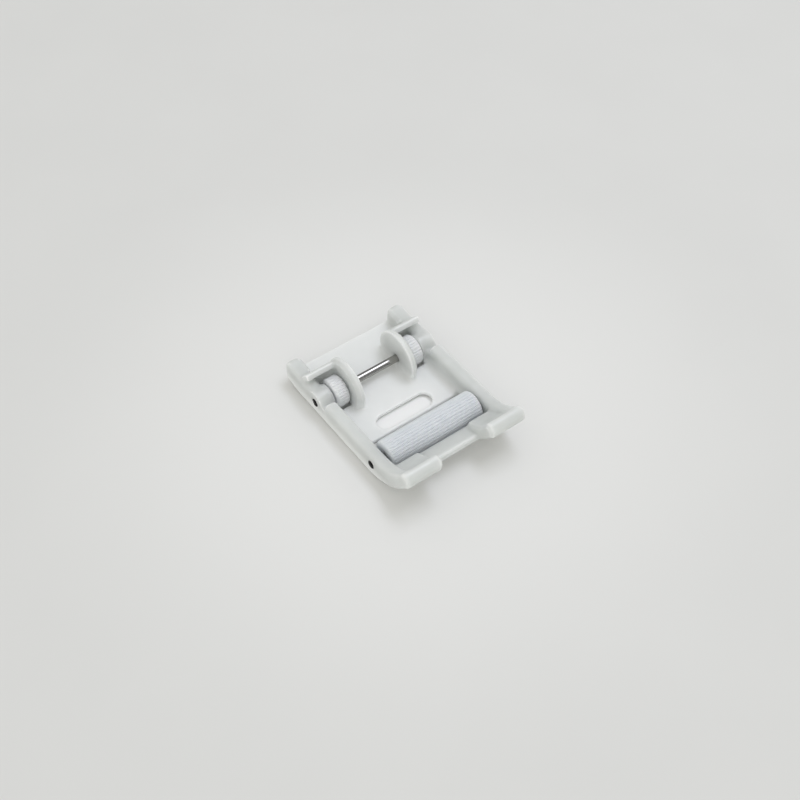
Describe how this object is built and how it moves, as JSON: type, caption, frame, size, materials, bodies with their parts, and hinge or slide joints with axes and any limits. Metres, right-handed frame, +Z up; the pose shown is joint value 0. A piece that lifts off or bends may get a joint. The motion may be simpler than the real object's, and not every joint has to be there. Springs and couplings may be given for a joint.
{
  "type": "roller presser foot",
  "caption": "Clip-on roller presser foot for a sewing machine: a translucent open moulding with upturned toes, a needle slot, ridged rollers front and rear, and a steel bar.",
  "frame": {"origin": "under the middle of the foot, on the cloth plane that the rollers touch", "axes": "+X to the sewer's right, +Y to the back of the machine, +Z up"},
  "size_m": [0.0228, 0.0334, 0.0083],
  "materials": {
    "milky_plastic": "smooth moulded, milky and translucent",
    "roller_plastic": "satin, slightly bluish white",
    "polished_steel": "ground and polished"
  },
  "bodies": {
    "foot": {"foot_body": "milky_plastic", "front_axle": "polished_steel", "cross_bar": "polished_steel"},
    "front_roller": {"front_roller": "roller_plastic"},
    "rear_left_roller": {"rear_left_roller": "roller_plastic"},
    "rear_right_roller": {"rear_right_roller": "roller_plastic"}
  },
  "joints": [
    {"name": "front_roller_spin", "type": "hinge", "parent": "foot", "child": "front_roller", "pos_m": [0, -0.0073, 0.0026], "axis": [1, 0, 0], "continuous": true},
    {"name": "rear_left_roller_spin", "type": "hinge", "parent": "foot", "child": "rear_left_roller", "pos_m": [-0.0073, 0.008, 0.0026], "axis": [1, 0, 0], "continuous": true},
    {"name": "rear_right_roller_spin", "type": "hinge", "parent": "foot", "child": "rear_right_roller", "pos_m": [0.0073, 0.008, 0.0026], "axis": [1, 0, 0], "continuous": true}
  ]
}
